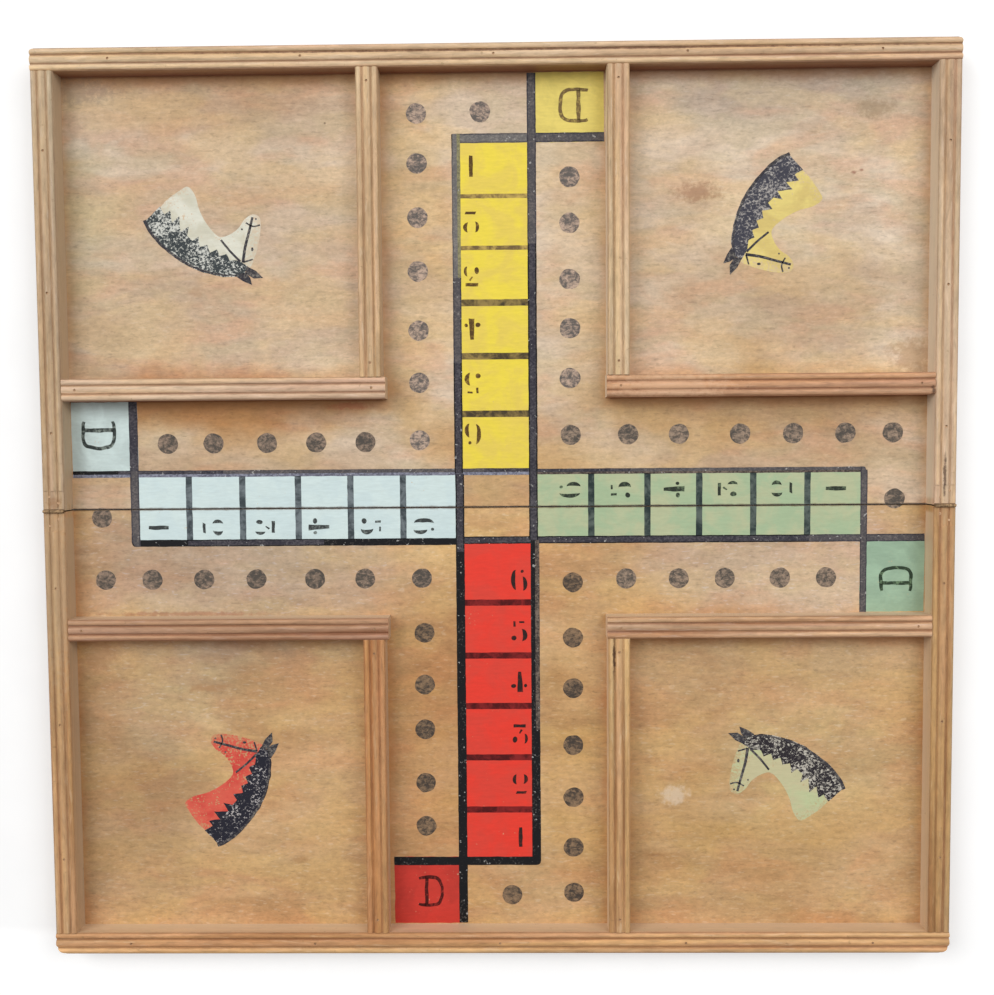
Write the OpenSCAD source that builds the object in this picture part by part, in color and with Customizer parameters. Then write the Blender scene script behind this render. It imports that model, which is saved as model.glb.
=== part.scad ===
// Folding board for a race game with four stables, lying open and flat.
// Two plywood halves meet on a fold line. Reeded strips frame them and fence off
// a tray in each corner. A small butt hinge is let into the meeting ends of the
// side rails, with its axis at the strips' crests, so that the play side folds
// inwards and the trays close on each other.
// Millimetres. X runs left to right, Y towards the upper half, Z up from the
// underside. The origin is the middle of the underside, on the fold line.

/* [Board] */
// Width of the open board, from left to right
board_w = 400; // [300:1:500]
// Depth of the open board, over both halves
board_d = 400; // [300:1:500]
// Thickness of the plywood panels
panel_t = 4; // [3:0.5:8]
// Gap between the two halves along the fold line
fold_gap = 0.6; // [0.4:0.1:2]
// Radius of the two outer corners of the upper half
upper_corner_r = 2; // [1:0.5:8]
// Radius of the two outer corners of the lower half
lower_corner_r = 5; // [1:0.5:8]

/* [Reeded strip] */
// Width of the strip that all rails and dividers are cut from
strip_w = 9.6; // [9:0.2:14]
// Height of the strip, from the panel to the crests of its reeds
strip_h = 10; // [8:0.5:16]
// Width of the narrow reed near each edge of the strip
narrow_reed_w = 2.5; // [2:0.1:3]
// Width of the flat groove between two reeds
groove_w = 0.4; // [0.3:0.05:0.8]
// Width of the flat edge outside each narrow reed
edge_w = 0.15; // [0.1:0.05:0.5]
// Height of the reeds above the grooves
reed_rise = 0.9; // [0.5:0.05:0.95]

/* [Path and trays] */
// Clear width of the path between the trays
path_w = 96.6; // [70:0.2:120]
// Set-back of the left side dividers from the free ends of the cross dividers
left_setback = 1.6; // [0:0.1:5]
// Set-back of the right side dividers from the free ends of the cross dividers
right_setback = 0.4; // [0:0.1:5]

/* [Hinges] */
// Length of a hinge along its axis, across the side rail
hinge_w = 8.6; // [7:0.2:8.8]
// Reach of each leaf from the hinge axis down the end of its rail
leaf_h = 7.5; // [7:0.5:8]
// Thickness of the leaves, which are let in flush with the rails' ends
leaf_t = 0.4; // [0.3:0.05:0.5]
// Height of the knuckles above the backs of the leaves
knuckle_proud = 0.05; // [0.05:0.05:0.2]
// Radius of the hinge pin
hinge_pin_r = 0.4; // [0.3:0.05:0.4]
// Length of the pin's peened ends, outside the knuckles
pin_head_t = 0.3; // [0.1:0.05:0.3]
// Height of the hinge axis above the crests of the reeds
axis_rise = 0.15; // [0.1:0.05:0.3]
// Distance of a leaf's upper nail below the hinge axis
near_nail_drop = 2.6; // [2.2:0.1:3]
// Distance of a leaf's lower nail below the hinge axis
far_nail_drop = 5.6; // [5:0.1:5.8]
// Radius of the hinge nails' shanks
nail_r = 0.3; // [0.25:0.05:0.35]
// Radius of the hinge nails' countersunk heads
nail_head_r = 0.6; // [0.5:0.05:0.75]
// Length of the hinge nails
nail_l = 5; // [3:0.5:7]

/* [Rail ends at the fold] */
// Length over which the crests of a side rail are planed down beside the fold
flat_reach = 9; // [4:0.5:15]
// Depth planed off the crests there
flat_drop = 0.5; // [0.1:0.05:0.6]
// Distance of the nearer pin beside the fold from the fold line
near_pin_y = 3.6; // [3:0.1:4.5]
// Distance of the farther pin beside the fold from the fold line
far_pin_y = 6.4; // [6:0.1:9]
// Distance between these two pins along the fold
end_pin_spread = 4; // [3:0.1:4.6]

/* [Panel pins] */
// Radius of the pins that hold the strips to the panels
pin_r = 0.55; // [0.4:0.05:0.8]
// Depth of the pins' ends below the crest of the middle reed
pin_sunk = 0.6; // [0.6:0.1:1]
// Plywood left under the tips of the pins
pin_floor = 1; // [0.5:0.5:2]
// Distance of a rail's outer pins from the rail's ends
rail_pin_inset = 34; // [15:1:50]
// Distance of a divider's outer pins from the divider's ends
divider_pin_inset = 6; // [3:1:20]
// Number of pins in a long rail
long_rail_pins = 5; // [3:1:8]
// Number of pins in a side rail
side_rail_pins = 3; // [2:1:5]
// Number of pins in a divider
divider_pins = 2; // [2:1:4]

/* [Fits] */
// Radial clearance of pins and nails in their holes
tight_fit = 0.02; // [0.01:0.01:0.05]
// Radial clearance of the hinge pin in the moving knuckle
running_fit = 0.05; // [0.02:0.01:0.1]
// Gap between knuckles, and from a knuckle to the other leaf and to the rails
knuckle_gap = 0.15; // [0.1:0.05:0.3]
// Gap from the knuckles down to the floor of the notch that they turn in
notch_drop_gap = 0.35; // [0.3:0.05:0.6]

/* [Hidden] */
UPPER = 1;
LOWER = -1;
RIGHT = 1;
LEFT = -1;
$fn = 48;

// Heights
crest_z = panel_t + strip_h;
hinge_z = crest_z + axis_rise;
flat_z = crest_z - flat_drop;

// The reeds share the strip's width, with the wide one in the middle
wide_reed_w = strip_w - 2 * (edge_w + narrow_reed_w + groove_w);
narrow_reed_x = strip_w / 2 - edge_w - narrow_reed_w / 2;

// Faces and centre lines in the upper right quarter, which the others mirror
fold_y = fold_gap / 2;
outer_x = board_w / 2;
outer_y = board_d / 2;
rail_face_x = outer_x - strip_w;
rail_face_y = outer_y - strip_w;
side_rail_x = outer_x - strip_w / 2;
long_rail_y = outer_y - strip_w / 2;
path_x = path_w / 2;
cross_divider_y = path_w / 2 + strip_w / 2;
side_divider_start_y = path_w / 2 + strip_w;

// The leaves' backs lie against the rails, and the knuckles curl over from there
leaf_back_y = fold_y + leaf_t;
knuckle_r = leaf_back_y + knuckle_proud;
leaf_bottom_z = hinge_z - leaf_h;
leaf_top_z = hinge_z - knuckle_r - knuckle_gap;
notch_y = knuckle_r + knuckle_gap;
notch_z = hinge_z - knuckle_r - notch_drop_gap;

// The three knuckles share the hinge's length: the lower leaf has the outer two
knuckle_w = (hinge_w - 2 * knuckle_gap) / 3;
outer_knuckle_x = knuckle_w + knuckle_gap;
MIDDLE_KNUCKLE = [0];
OUTER_KNUCKLES = [-outer_knuckle_x, outer_knuckle_x];
pin_head_r = knuckle_r * 0.8;
nail_head_h = leaf_t * 0.6;
overcut = 1;

panel_colour = [0.76, 0.63, 0.48];
rail_colour = [0.72, 0.56, 0.40];
divider_colour = [0.78, 0.62, 0.45];
hinge_colour = [0.62, 0.52, 0.36];
steel_colour = [0.35, 0.31, 0.27];

function setback(hand) = hand == LEFT ? left_setback : right_setback;
function side_divider_x(hand) = path_x + setback(hand) + strip_w / 2;
function corner_r(half) = half == LOWER ? lower_corner_r : upper_corner_r;

// Evenly spaced places from one end pin to the other
function spaced(start, end, count) = [
    for (i = [0 : count - 1]) start + (end - start) * i / (count - 1)
];

function long_rail_pin_points() = [
    for (x = spaced(-outer_x + rail_pin_inset, outer_x - rail_pin_inset, long_rail_pins))
        [x, long_rail_y]
];
function side_rail_pin_points() = [
    [side_rail_x - end_pin_spread / 2, near_pin_y],
    [side_rail_x + end_pin_spread / 2, far_pin_y],
    for (y = spaced(fold_y + rail_pin_inset, rail_face_y - rail_pin_inset, side_rail_pins))
        [side_rail_x, y]
];
function cross_divider_pin_points() = [
    for (x = spaced(path_x + divider_pin_inset, rail_face_x - divider_pin_inset, divider_pins))
        [x, cross_divider_y]
];
function side_divider_pin_points(hand) = [
    for (y = spaced(side_divider_start_y + divider_pin_inset, rail_face_y - divider_pin_inset,
                    divider_pins))
        [side_divider_x(hand), y]
];

// Turns a shape drawn for the upper half, or for the right side, into its twin
module on_half(half) {
    mirror([0, half == LOWER ? 1 : 0, 0]) children();
}

module on_side(hand) {
    mirror([hand == LEFT ? 1 : 0, 0, 0]) children();
}

// Outline of one half: square at the fold, its two outer corners rounded
module half_outline(half) {
    r = corner_r(half);
    translate([-outer_x, fold_y]) square([board_w, outer_y - r - fold_y]);
    translate([-outer_x + r, fold_y]) square([board_w - 2 * r, outer_y - fold_y]);
    for (x = [-outer_x + r, outer_x - r]) translate([x, outer_y - r]) circle(r);
}

// One reed: the crown of a circle that rises to the strip's full height
module reed(width) {
    crown_r = (width * width / 4 + reed_rise * reed_rise) / (2 * reed_rise);
    intersection() {
        translate([0, strip_h - crown_r]) circle(crown_r);
        translate([-width / 2, strip_h - reed_rise]) square([width, reed_rise]);
    }
}

// Cross-section of the strip: a plain block with three reeds on top
module strip_profile() {
    translate([-strip_w / 2, 0]) square([strip_w, strip_h - reed_rise]);
    reed(wide_reed_w);
    for (x = [-narrow_reed_x, narrow_reed_x]) translate([x, 0]) reed(narrow_reed_w);
}

// A strip lying on the panel along X or along Y
module strip_along_x(start_x, end_x, y) {
    translate([start_x, y, panel_t]) rotate([90, 0, 90])
        linear_extrude(end_x - start_x) strip_profile();
}

module strip_along_y(start_y, end_y, x) {
    translate([x, end_y, panel_t]) rotate([90, 0, 0])
        linear_extrude(end_y - start_y) strip_profile();
}

// Pins, or with a clearance their holes, at a list of places
module pins(points, clearance) {
    for (p = points) translate([p.x, p.y, pin_floor])
        cylinder(r = pin_r + clearance, h = crest_z - pin_sunk - pin_floor);
}

module pin_holes(points) {
    pins(points, tight_fit);
    for (p = points) translate([p.x, p.y, crest_z - pin_sunk - overcut])
        cylinder(r = pin_r + tight_fit, h = pin_sunk + 2 * overcut);
}

// A leaf's nails, or with a clearance their holes: they run into the rail's end
module hinge_nail_set(clearance) {
    for (drop = [near_nail_drop, far_nail_drop])
        translate([side_rail_x, fold_y, hinge_z - drop]) rotate([-90, 0, 0]) {
            cylinder(r = nail_r + clearance, h = nail_l);
            cylinder(r1 = nail_head_r + clearance, r2 = nail_r + clearance, h = nail_head_h);
        }
}

// A round bar along the hinge axis, centred offset_x from the hinge's middle
module axis_bar(radius, length, offset_x = 0) {
    translate([side_rail_x + offset_x - length / 2, 0, hinge_z]) rotate([0, 90, 0])
        cylinder(r = radius, h = length);
}

// The flat blank of a leaf, drawn for the upper right: a plate with a neck for each knuckle
module leaf_blank(knuckles) {
    translate([side_rail_x, leaf_back_y, leaf_bottom_z]) rotate([90, 0, 0])
        linear_extrude(leaf_t) {
            translate([-hinge_w / 2, 0]) square([hinge_w, leaf_top_z - leaf_bottom_z]);
            for (x = knuckles) translate([x - knuckle_w / 2, 0]) square([knuckle_w, leaf_h]);
        }
}

// A leaf with its knuckles, bored for the pin and drilled for its nails
module leaf(knuckles, bore_clearance) {
    color(hinge_colour) difference() {
        union() {
            leaf_blank(knuckles);
            for (x = knuckles) axis_bar(knuckle_r, knuckle_w, x);
        }
        axis_bar(hinge_pin_r + bore_clearance, hinge_w + 2 * overcut);
        hinge_nail_set(tight_fit);
    }
}

// The upper leaf turns on the pin with its middle knuckle
module moving_leaf(hand) {
    on_side(hand) leaf(MIDDLE_KNUCKLE, running_fit);
}

// The lower leaf holds the pin in its two outer knuckles
module fixed_leaf(hand) {
    on_side(hand) on_half(LOWER) leaf(OUTER_KNUCKLES, tight_fit);
}

// Pin of the hinge, with its two peened ends
module hinge_pin(hand) {
    head_x = hinge_w / 2 + pin_head_t / 2;
    color(hinge_colour) on_side(hand) {
        axis_bar(hinge_pin_r, hinge_w);
        for (x = [-head_x, head_x]) axis_bar(pin_head_r, pin_head_t, x);
    }
}

// What a side rail's end at the fold loses: the planed crests, the notch that the
// knuckles turn in, the pocket of the leaf, and the nail holes
module rail_end_cuts() {
    translate([rail_face_x - overcut, -overcut, flat_z])
        cube([strip_w + 2 * overcut, flat_reach + overcut, strip_h]);
    translate([rail_face_x - overcut, -overcut, notch_z])
        cube([strip_w + 2 * overcut, notch_y + overcut, strip_h]);
    translate([side_rail_x - hinge_w / 2 - tight_fit, -overcut, leaf_bottom_z - tight_fit])
        cube([hinge_w + 2 * tight_fit, leaf_back_y + overcut, strip_h]);
    hinge_nail_set(tight_fit);
}

module panel(half) {
    color(panel_colour) on_half(half) difference() {
        linear_extrude(panel_t) half_outline(half);
        pin_holes(long_rail_pin_points());
        for (hand = [LEFT, RIGHT]) on_side(hand) {
            pin_holes(side_rail_pin_points());
            pin_holes(cross_divider_pin_points());
            pin_holes(side_divider_pin_points(hand));
        }
    }
}

module long_rail(half) {
    color(rail_colour) on_half(half) difference() {
        intersection() {
            strip_along_x(-outer_x, outer_x, long_rail_y);
            linear_extrude(crest_z + overcut) half_outline(half);
        }
        pin_holes(long_rail_pin_points());
    }
}

module side_rail(half, hand) {
    color(rail_colour) on_half(half) on_side(hand) difference() {
        strip_along_y(fold_y, rail_face_y, side_rail_x);
        rail_end_cuts();
        pin_holes(side_rail_pin_points());
    }
}

module cross_divider(half, hand) {
    color(divider_colour) on_half(half) on_side(hand) difference() {
        strip_along_x(path_x, rail_face_x, cross_divider_y);
        pin_holes(cross_divider_pin_points());
    }
}

module side_divider(half, hand) {
    color(divider_colour) on_half(half) on_side(hand) difference() {
        strip_along_y(side_divider_start_y, rail_face_y, side_divider_x(hand));
        pin_holes(side_divider_pin_points(hand));
    }
}

module panel_pins(half) {
    color(steel_colour) on_half(half) {
        pins(long_rail_pin_points(), 0);
        for (hand = [LEFT, RIGHT]) on_side(hand) {
            pins(side_rail_pin_points(), 0);
            pins(cross_divider_pin_points(), 0);
            pins(side_divider_pin_points(hand), 0);
        }
    }
}

module hinge_nails(half) {
    color(steel_colour) on_half(half)
        for (hand = [LEFT, RIGHT]) on_side(hand) hinge_nail_set(0);
}

panel(UPPER);  // upper_panel
long_rail(UPPER);  // upper_long_rail
side_rail(UPPER, LEFT);  // upper_left_rail
side_rail(UPPER, RIGHT);  // upper_right_rail
cross_divider(UPPER, LEFT);  // upper_left_cross_divider
side_divider(UPPER, LEFT);  // upper_left_side_divider
cross_divider(UPPER, RIGHT);  // upper_right_cross_divider
side_divider(UPPER, RIGHT);  // upper_right_side_divider
panel_pins(UPPER);  // upper_panel_pins
panel(LOWER);  // lower_panel
long_rail(LOWER);  // lower_long_rail
side_rail(LOWER, LEFT);  // lower_left_rail
side_rail(LOWER, RIGHT);  // lower_right_rail
cross_divider(LOWER, LEFT);  // lower_left_cross_divider
side_divider(LOWER, LEFT);  // lower_left_side_divider
cross_divider(LOWER, RIGHT);  // lower_right_cross_divider
side_divider(LOWER, RIGHT);  // lower_right_side_divider
panel_pins(LOWER);  // lower_panel_pins
moving_leaf(LEFT);  // left_hinge_upper_leaf
fixed_leaf(LEFT);  // left_hinge_lower_leaf
hinge_pin(LEFT);  // left_hinge_pin
moving_leaf(RIGHT);  // right_hinge_upper_leaf
fixed_leaf(RIGHT);  // right_hinge_lower_leaf
hinge_pin(RIGHT);  // right_hinge_pin
hinge_nails(UPPER);  // upper_hinge_nails
hinge_nails(LOWER);  // lower_hinge_nails
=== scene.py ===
"""Looks of a folding wooden race-game board: reeded strips, painted squares, stamped dots."""
import math
import random

import bpy
import bmesh
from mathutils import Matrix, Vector, noise


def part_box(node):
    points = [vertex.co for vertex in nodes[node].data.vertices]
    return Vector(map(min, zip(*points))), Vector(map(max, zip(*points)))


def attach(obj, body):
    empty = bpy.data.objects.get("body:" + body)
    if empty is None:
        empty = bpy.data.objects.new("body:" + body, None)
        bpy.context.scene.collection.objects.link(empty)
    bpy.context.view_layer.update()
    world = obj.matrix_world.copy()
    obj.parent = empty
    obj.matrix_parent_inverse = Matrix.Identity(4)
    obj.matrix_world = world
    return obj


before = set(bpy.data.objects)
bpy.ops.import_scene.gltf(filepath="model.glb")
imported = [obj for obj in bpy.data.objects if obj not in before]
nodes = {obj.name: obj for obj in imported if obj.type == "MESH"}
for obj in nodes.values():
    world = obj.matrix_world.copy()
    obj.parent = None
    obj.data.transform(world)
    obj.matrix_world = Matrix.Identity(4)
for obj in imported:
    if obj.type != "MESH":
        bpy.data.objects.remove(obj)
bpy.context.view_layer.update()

MM = 0.001
LOWER_HALF = "lower_half"
UPPER_HALF = "upper_half"

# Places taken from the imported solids, in millimetres
PANEL_LOW, PANEL_HIGH = (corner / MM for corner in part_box("upper_panel"))
RAIL_LOW, RAIL_HIGH = (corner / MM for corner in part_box("upper_long_rail"))
CROSS_LOW, CROSS_HIGH = (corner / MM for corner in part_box("upper_right_cross_divider"))
SIDE_LOW, SIDE_HIGH = (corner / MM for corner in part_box("upper_right_side_divider"))
PANEL_TOP = PANEL_HIGH.z
CREST = RAIL_HIGH.z
FOLD_Y = PANEL_LOW.y
INNER_EDGE = RAIL_LOW.y
PATH_HALF = CROSS_LOW.x

# Camera, fitted to the board's edges in the photograph: place in millimetres, turn in radians
IMAGE_W = 994
CAMERA_AT = (7.3, 32.7, 504.0)
CAMERA_TURN = (-0.0570, 0.0142, -0.0078)
FOCAL_PX = 1122
SENSOR_W = 36.0
# Area lights that look at the board: (name, place in metres, power in watts)
KEY_LIGHTS = [("key_left", (-1.7, 1.1, 2.0), 49), ("key_right", (1.6, 1.1, 2.1), 40)]
KEY_LIGHT_SIZE = 1.9
WORLD_STRENGTH = 0.28
WHITE = (1, 1, 1, 1)


def srgb(red, green, blue):
    """A colour given in 0 to 255 as the photograph shows it, in linear light."""
    def linear(channel):
        value = channel / 255
        return value / 12.92 if value <= 0.04045 else ((value + 0.055) / 1.055) ** 2.4
    return (linear(red), linear(green), linear(blue), 1.0)


def add_object(name, data, place=(0, 0, 0), turn=(0, 0, 0)):
    piece = bpy.data.objects.new(name, data)
    piece.location = place
    piece.rotation_euler = turn
    bpy.context.scene.collection.objects.link(piece)
    return piece


def add_camera():
    data = bpy.data.cameras.new("camera")
    data.sensor_fit = "HORIZONTAL"
    data.sensor_width = SENSOR_W
    data.lens = FOCAL_PX * SENSOR_W / IMAGE_W
    place = [value * MM for value in CAMERA_AT]
    bpy.context.scene.camera = add_object("camera", data, place, CAMERA_TURN)


def add_key_light(name, place, power):
    data = bpy.data.lights.new(name, "AREA")
    data.size = KEY_LIGHT_SIZE
    data.energy = power
    add_object(name, data, place, (-Vector(place)).to_track_quat("-Z", "Y").to_euler())


def add_node(tree, kind, inputs, **settings):
    """A new node, its inputs given by name or number, as plain values or sockets."""
    node = tree.nodes.new("ShaderNode" + kind)
    for name, value in settings.items():
        setattr(node, name, value)
    for key, value in inputs.items():
        if isinstance(value, bpy.types.NodeSocket):
            tree.links.new(value, node.inputs[key])
        elif value is not None:
            node.inputs[key].default_value = value
    return node


def add_world():
    """A pale world: soft light for the object, white where the camera looks past it."""
    world = bpy.data.worlds.new("studio")
    bpy.context.scene.world = world
    world.use_nodes = True
    tree = world.node_tree
    path = add_node(tree, "LightPath", {}).outputs
    seen = add_node(tree, "Math", {0: path["Is Camera Ray"], 1: path["Is Glossy Ray"]},
                    operation="MAXIMUM")
    strength = add_node(tree, "MapRange", {"Value": seen.outputs[0], "To Min": WORLD_STRENGTH})
    background = tree.nodes["Background"].inputs
    background["Color"].default_value = WHITE
    tree.links.new(strength.outputs["Result"], background["Strength"])


class Graph:
    """A material under construction: short calls that add nodes and join them."""

    def __init__(self, name):
        self.material = bpy.data.materials.new(name)
        self.material.use_nodes = True
        self.tree = self.material.node_tree
        self.tree.nodes.clear()
        coordinates = self.add("TexCoord", {}).outputs
        self.place = coordinates["Object"]
        self.x, self.y, self.z = self.add("SeparateXYZ", {0: self.place}).outputs
        facing = self.add("SeparateXYZ", {0: coordinates["Normal"]})
        self.facing_x, self.facing_y, self.facing_z = facing.outputs

    def add(self, kind, inputs, **settings):
        return add_node(self.tree, kind, inputs, **settings)

    def math(self, operation, first, second=None):
        return self.add("Math", {0: first, 1: second}, operation=operation).outputs[0]

    def times(self, first, second):
        return self.math("MULTIPLY", first, second)

    def minus(self, first, second):
        return self.math("SUBTRACT", first, second)

    def size(self, value):
        return self.math("ABSOLUTE", value)

    def total(self, *parts):
        """The sum of values from the graph, each given with its share."""
        result = None
        for value, share in parts:
            weighed = self.times(value, share)
            result = weighed if result is None else self.math("ADD", result, weighed)
        return result

    def about_one(self, *parts):
        """The same sum of noise values, moved so that its middle is 1."""
        middle = sum(share for _, share in parts) / 2
        return self.math("ADD", self.total(*parts), 1.0 - middle)

    def shake(self, value, reach):
        """A noise value moved so that its middle is 0, times reach."""
        return self.times(self.minus(value, 0.5), reach)

    def shifted(self, vector, scale, offset=(0, 0, 0)):
        inputs = {"Vector": vector, "Scale": scale, "Location": offset}
        return self.add("Mapping", inputs, vector_type="POINT").outputs[0]

    def noise(self, vector, scale, detail, roughness, distortion=0.0):
        inputs = {"Vector": vector, "Scale": scale, "Detail": detail, "Roughness": roughness,
                  "Distortion": distortion}
        return self.add("TexNoise", inputs).outputs[0]

    def span(self, value, low, high, out_low=0.0, out_high=1.0):
        """value eased from low to high, clamped, onto out_low to out_high."""
        inputs = {"Value": value, "From Min": low, "From Max": high, "To Min": out_low,
                  "To Max": out_high}
        return self.add("MapRange", inputs, interpolation_type="SMOOTHSTEP").outputs[0]

    def mix(self, factor, first, second, blend="MIX"):
        inputs = {"Factor": factor, 6: first, 7: second}
        return self.add("Mix", inputs, data_type="RGBA", blend_type=blend).outputs[2]

    def shade(self, colour, factor):
        """colour made darker or paler by a number from the graph."""
        inputs = {0: colour, "Scale": factor}
        return self.add("VectorMath", inputs, operation="SCALE").outputs[0]

    def oval(self, x, y, reach_x, reach_y):
        """Distance from a place on the board, 1 at the rim of an oval about it."""
        placed = self.shifted(self.place, (1 / (reach_x * MM), 1 / (reach_y * MM), 0),
                              (-x / reach_x, -y / reach_y, 0))
        return self.add("VectorMath", {0: placed}, operation="LENGTH").outputs["Value"]

    def bump(self, height, depth, strength):
        inputs = {"Strength": strength, "Distance": depth, "Height": height}
        return self.add("Bump", inputs).outputs[0]

    def finish(self, colour, roughness, normal, metallic=0.0, specular=0.5, glow=None):
        """The whole material. glow is the strength of its white light, if any."""
        shader = self.add("BsdfPrincipled", {
            "Base Color": colour, "Roughness": roughness, "Normal": normal, "Metallic": metallic,
            "Specular IOR Level": specular, "Emission Color": WHITE, "Emission Strength": glow})
        self.add("OutputMaterial", {0: shader.outputs[0]})
        return self.material


# Wood grain: noise patches per metre along it and across it, and shares in its figure
BROAD, STREAK, FLECK, FIBRE, PORE = (12, 34), (110, 600), (360, 540), (850, 1800), (280, 950)
STREAK_SHARE, FLECK_SHARE, FIBRE_SHARE = 0.36, 0.58, 0.18
PORE_SHADE = 0.84
PALE_FLECK, PALE_FLECK_SHARE = srgb(236, 216, 190), 0.22


def wood(graph, pale, deep, along, seed, tints, stretch, length=1.0, contrast=1.0):
    """Fine-grained wood with its grain along axis 0 (X) or 1 (Y): (colour, height).

    Each tint is (colour, patches per metre along the grain, strength), its patches
    stretch times as long as they are wide. length and contrast are those of the grain.
    """
    placed = graph.shifted(graph.place, (1, 1, 1), (seed * 0.37, seed * 0.71, seed * 0.13))

    def grain(density, detail, roughness, distortion=0.0, offset=(0, 0, 0)):
        long, fine = density[0] / length, density[1]
        scale = (long, fine, fine) if along == 0 else (fine, long, fine)
        return graph.noise(graph.shifted(placed, scale, offset), 1.0, detail, roughness, distortion)

    broad = grain(BROAD, 3, 0.6, 0.4)
    streak = grain(STREAK, 3, 0.6)
    fleck = grain(FLECK, 3, 0.65, 0.3)
    fibre = grain(FIBRE, 2, 0.6)
    pore = grain(PORE, 2, 0.5, 0.3)
    colour = graph.mix(graph.span(broad, 0.36, 0.62), deep, pale)
    for index, (tint, density, strength) in enumerate(tints):
        patch = grain((density, stretch * density), 3, 0.55, 0.4, (index * 5.3, index * 2.9, 0))
        colour = graph.mix(graph.span(patch, 0.44, 0.62, 0.0, strength), colour, srgb(*tint))
    figure = graph.about_one((streak, STREAK_SHARE * contrast), (fleck, FLECK_SHARE * contrast),
                             (fibre, FIBRE_SHARE * contrast))
    colour = graph.shade(graph.shade(colour, figure), graph.span(pore, 0.60, 0.70, 1.0, PORE_SHADE))
    colour = graph.mix(graph.span(pore, 0.40, 0.30, 0.0, PALE_FLECK_SHARE), colour, PALE_FLECK)
    return colour, graph.total((fibre, 0.6), (fleck, 0.4))


# Rims of marks and of zones: their noise's scale, detail and roughness, its reach, the full core
MARK_RIM = ((420, 4, 0.7), 2.2, 0.3)
ZONE_RIM = ((24, 3, 0.6), 1.2, 0.35)
SPOT_END = 1.1


def spotted(graph, colour, spots, rim):
    """Uneven ovals of another tone: (x, y, reach_x, reach_y, tint, strength) each."""
    if not spots:
        return colour
    noise_facts, reach, core = rim
    uneven = graph.shake(graph.noise(graph.place, *noise_facts), reach)
    for x, y, reach_x, reach_y, tint, strength in spots:
        away = graph.math("ADD", graph.oval(x, y, reach_x, reach_y), uneven)
        colour = graph.mix(graph.span(away, core, SPOT_END, strength, 0.0), colour, srgb(*tint))
    return colour


def wall_gap(graph, lean):
    """Distance in metres on a panel to the nearest strip, by the board's symmetry.

    It is taken from a place lean millimetres further up the board, so it is smallest
    under the strips' shaded sides.
    """
    across = graph.size(graph.x)
    along = graph.size(graph.math("ADD", graph.y, lean * MM))

    def strip_gap(square_to, low, high, start, beside):
        middle, half = (low + high) / 2 * MM, (high - low) / 2 * MM
        sideways = graph.size(graph.minus(square_to, middle))
        before = graph.minus(start * MM, beside)
        return graph.math("MAXIMUM", graph.minus(sideways, half), before)

    rim = graph.minus(INNER_EDGE * MM, graph.math("MAXIMUM", across, along))
    cross = strip_gap(along, CROSS_LOW.y, CROSS_HIGH.y, CROSS_LOW.x, across)
    side = strip_gap(across, SIDE_LOW.x, SIDE_HIGH.x, SIDE_LOW.y, along)
    return graph.math("MINIMUM", rim, graph.math("MINIMUM", cross, side))


# Grime by the fold, and painted shade with grime by the strips, in millimetres: how far its edge
# wanders, where it is full and where it ends
FOLD_WANDER, FOLD_FULL, FOLD_END = 0.9, -0.2, 0.5
FOLD_DIRT, FOLD_STRENGTH = srgb(92, 66, 50), 0.7
SHADE_LEAN = 3.0
WALL_SHADE_AND_GRIME = (6, -6.0, 1.0)
FOOT_SHADE_AND_GRIME = (1.6, -0.9 - SHADE_LEAN, 0.3 - SHADE_LEAN)
FOOT_SHADE_AND_DIRT, WALL_STRENGTH = srgb(112, 58, 30), 0.6
# Factors that turn a panel's deep tone into the tone of its painted shade and grime by the strips
SHADE_AND_GRIME_FACTORS = (0.82, 0.50, 0.25, 1.0)
UNDERSIDE_SHADE = 0.86
PLY = PANEL_TOP / 3


def fold_grime(graph, colour):
    """Darkens what lies within a millimetre of the fold."""
    uneven = graph.times(graph.noise(graph.place, 260, 3, 0.6), FOLD_WANDER * MM)
    near = graph.minus(graph.size(graph.y), uneven)
    dirt = graph.span(near, FOLD_FULL * MM, FOLD_END * MM, FOLD_STRENGTH, 0.0)
    return graph.mix(dirt, colour, FOLD_DIRT)


def plywood(name, pale, deep, seed, tints, zones, marks):
    """The panels: fine grain along X, painted shade and grime by the strips, tone zones (some of
    them painted shade), stains, and plies on their edges.
    """
    graph = Graph(name)
    colour, height = wood(graph, pale, deep, 0, seed, tints, stretch=2.4)
    underside = graph.shade(colour, UNDERSIDE_SHADE)
    plain = graph.mix(0.5, pale, deep)
    ratio = graph.add("VectorMath", {0: spotted(graph, plain, zones, ZONE_RIM), 1: plain},
                      operation="DIVIDE")
    colour = graph.mix(1.0, colour, ratio.outputs[0], "MULTIPLY")
    # Painted shade with grime: a wide warm band and a dark foot line beside the strips, leaning to
    # their shaded sides
    grime = graph.noise(graph.place, 70, 4, 0.65)
    gap = wall_gap(graph, SHADE_LEAN)
    shade_and_grime_tone = tuple(factor * channel for factor, channel in zip(SHADE_AND_GRIME_FACTORS, deep))
    for (wander, full, end), tone in ((WALL_SHADE_AND_GRIME, shade_and_grime_tone), (FOOT_SHADE_AND_GRIME, FOOT_SHADE_AND_DIRT)):
        near = graph.minus(gap, graph.times(grime, wander * MM))
        colour = graph.mix(graph.span(near, full * MM, end * MM, WALL_STRENGTH, 0.0), colour, tone)
    colour = fold_grime(graph, spotted(graph, colour, marks, MARK_RIM))
    colour = graph.mix(graph.span(graph.facing_z, -0.5, 0.0), underside, colour)
    ply = graph.math("PINGPONG", graph.z, PLY * MM)
    edge = graph.shade(underside, graph.span(ply, 0.2 * MM, 0.8 * MM, 0.6, 0.95))
    level = graph.span(graph.size(graph.facing_z), 0.2, 0.8)
    colour = graph.mix(level, edge, colour)
    rough = graph.span(graph.noise(graph.place, 60, 4, 0.6), 0.3, 0.7, 0.5, 0.68)
    return graph.finish(colour, rough, graph.bump(height, 0.05 * MM, 0.5), specular=0.3)
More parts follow.
